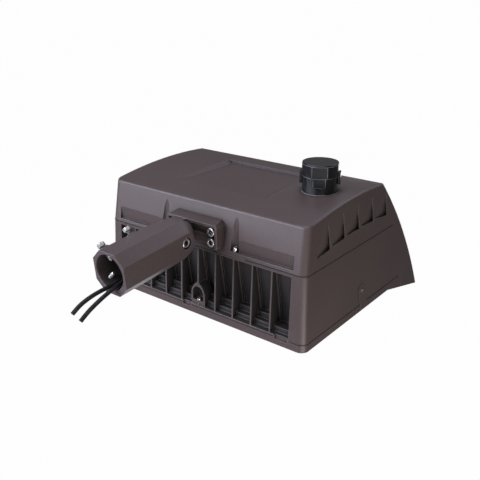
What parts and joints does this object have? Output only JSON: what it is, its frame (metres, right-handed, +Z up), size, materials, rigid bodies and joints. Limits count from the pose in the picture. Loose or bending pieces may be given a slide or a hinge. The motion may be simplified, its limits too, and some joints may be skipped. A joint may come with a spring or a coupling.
{
  "type": "led flood light",
  "caption": "Finned die-cast LED flood light with a front visor and twist-lock photocontrol, tilting on an octagonal slip-fitter knuckle with set screws and supply cables.",
  "frame": {"origin": "centre of the slip fitter's mouth, where a pole tenon enters", "axes": "+Y from the arm towards the visor, level with the roof's sides; +Z up, away from the glass; +X to the right of someone who faces the finned rear"},
  "size_m": [0.4788, 0.7413, 0.3255],
  "materials": {
    "bronze": "dark bronze textured powder coat on die-cast aluminium",
    "stainless": "bright stainless fastener",
    "seal": "matte silicone seal",
    "glass": "clear toughened flat glass",
    "board": "white solder mask on metal core",
    "emitter": "phosphor dome",
    "driver_case": "plain case",
    "potting": "potted case",
    "terminal": "moulded",
    "photocontrol": "satin black polycarbonate",
    "receptacle": "satin black moulding",
    "contact": "plain brass",
    "cable_jacket": "matte black jacket"
  },
  "bodies": {
    "arm": {"slip_fitter_arm": "bronze", "pivot_bolt": "stainless", "pivot_washer": "stainless", "pivot_nut": "stainless", "cable_grommet": "seal", "power_cable": "cable_jacket", "control_cable": "cable_jacket"},
    "head": {"driver_cover": "bronze", "cover_screws": "stainless", "cover_gasket": "seal", "heat_sink_housing": "bronze", "lens_frame": "bronze", "frame_gasket": "seal", "frame_rear_screw": "stainless", "frame_side_screws": "stainless", "lens_glass": "glass", "lens_gasket": "seal", "led_board": "board", "led_emitters": "emitter", "board_screws": "stainless", "led_driver": "driver_case", "driver_screws": "stainless", "surge_protector": "potting", "terminal_block": "terminal", "receptacle": "receptacle", "receptacle_gasket": "seal", "receptacle_nut": "receptacle", "knuckle_bracket": "bronze", "bracket_gasket": "seal", "bracket_bolts": "stainless", "bracket_washers": "stainless"},
    "photocontrol": {"photocontrol_cap": "photocontrol", "contact_blades": "contact"},
    "set_screw_1": {"set_screw_1": "stainless"},
    "set_screw_2": {"set_screw_2": "stainless"},
    "set_screw_3": {"set_screw_3": "stainless"},
    "set_screw_4": {"set_screw_4": "stainless"}
  },
  "joints": [
    {"name": "knuckle_tilt", "type": "hinge", "parent": "arm", "child": "head", "pos_m": [0, 0.14291, 0.01301], "axis": [1, 0, 0], "range_deg": [-85, 85]},
    {"name": "photocontrol_twist", "type": "hinge", "parent": "head", "child": "photocontrol", "pos_m": [0.159, 0.36161, 0.075], "axis": [0, 0, 1], "range_deg": [0, 20]},
    {"name": "set_screw_1_travel", "type": "slide", "parent": "arm", "child": "set_screw_1", "axis": [-0.7071, -0.0641, 0.7042], "range_m": [-0.002, 0.012]},
    {"name": "set_screw_2_travel", "type": "slide", "parent": "arm", "child": "set_screw_2", "axis": [-0.7071, -0.0641, 0.7042], "range_m": [-0.002, 0.012]},
    {"name": "set_screw_3_travel", "type": "slide", "parent": "arm", "child": "set_screw_3", "axis": [-0.7071, 0.0641, -0.7042], "range_m": [-0.002, 0.012]},
    {"name": "set_screw_4_travel", "type": "slide", "parent": "arm", "child": "set_screw_4", "axis": [-0.7071, 0.0641, -0.7042], "range_m": [-0.002, 0.012]}
  ]
}
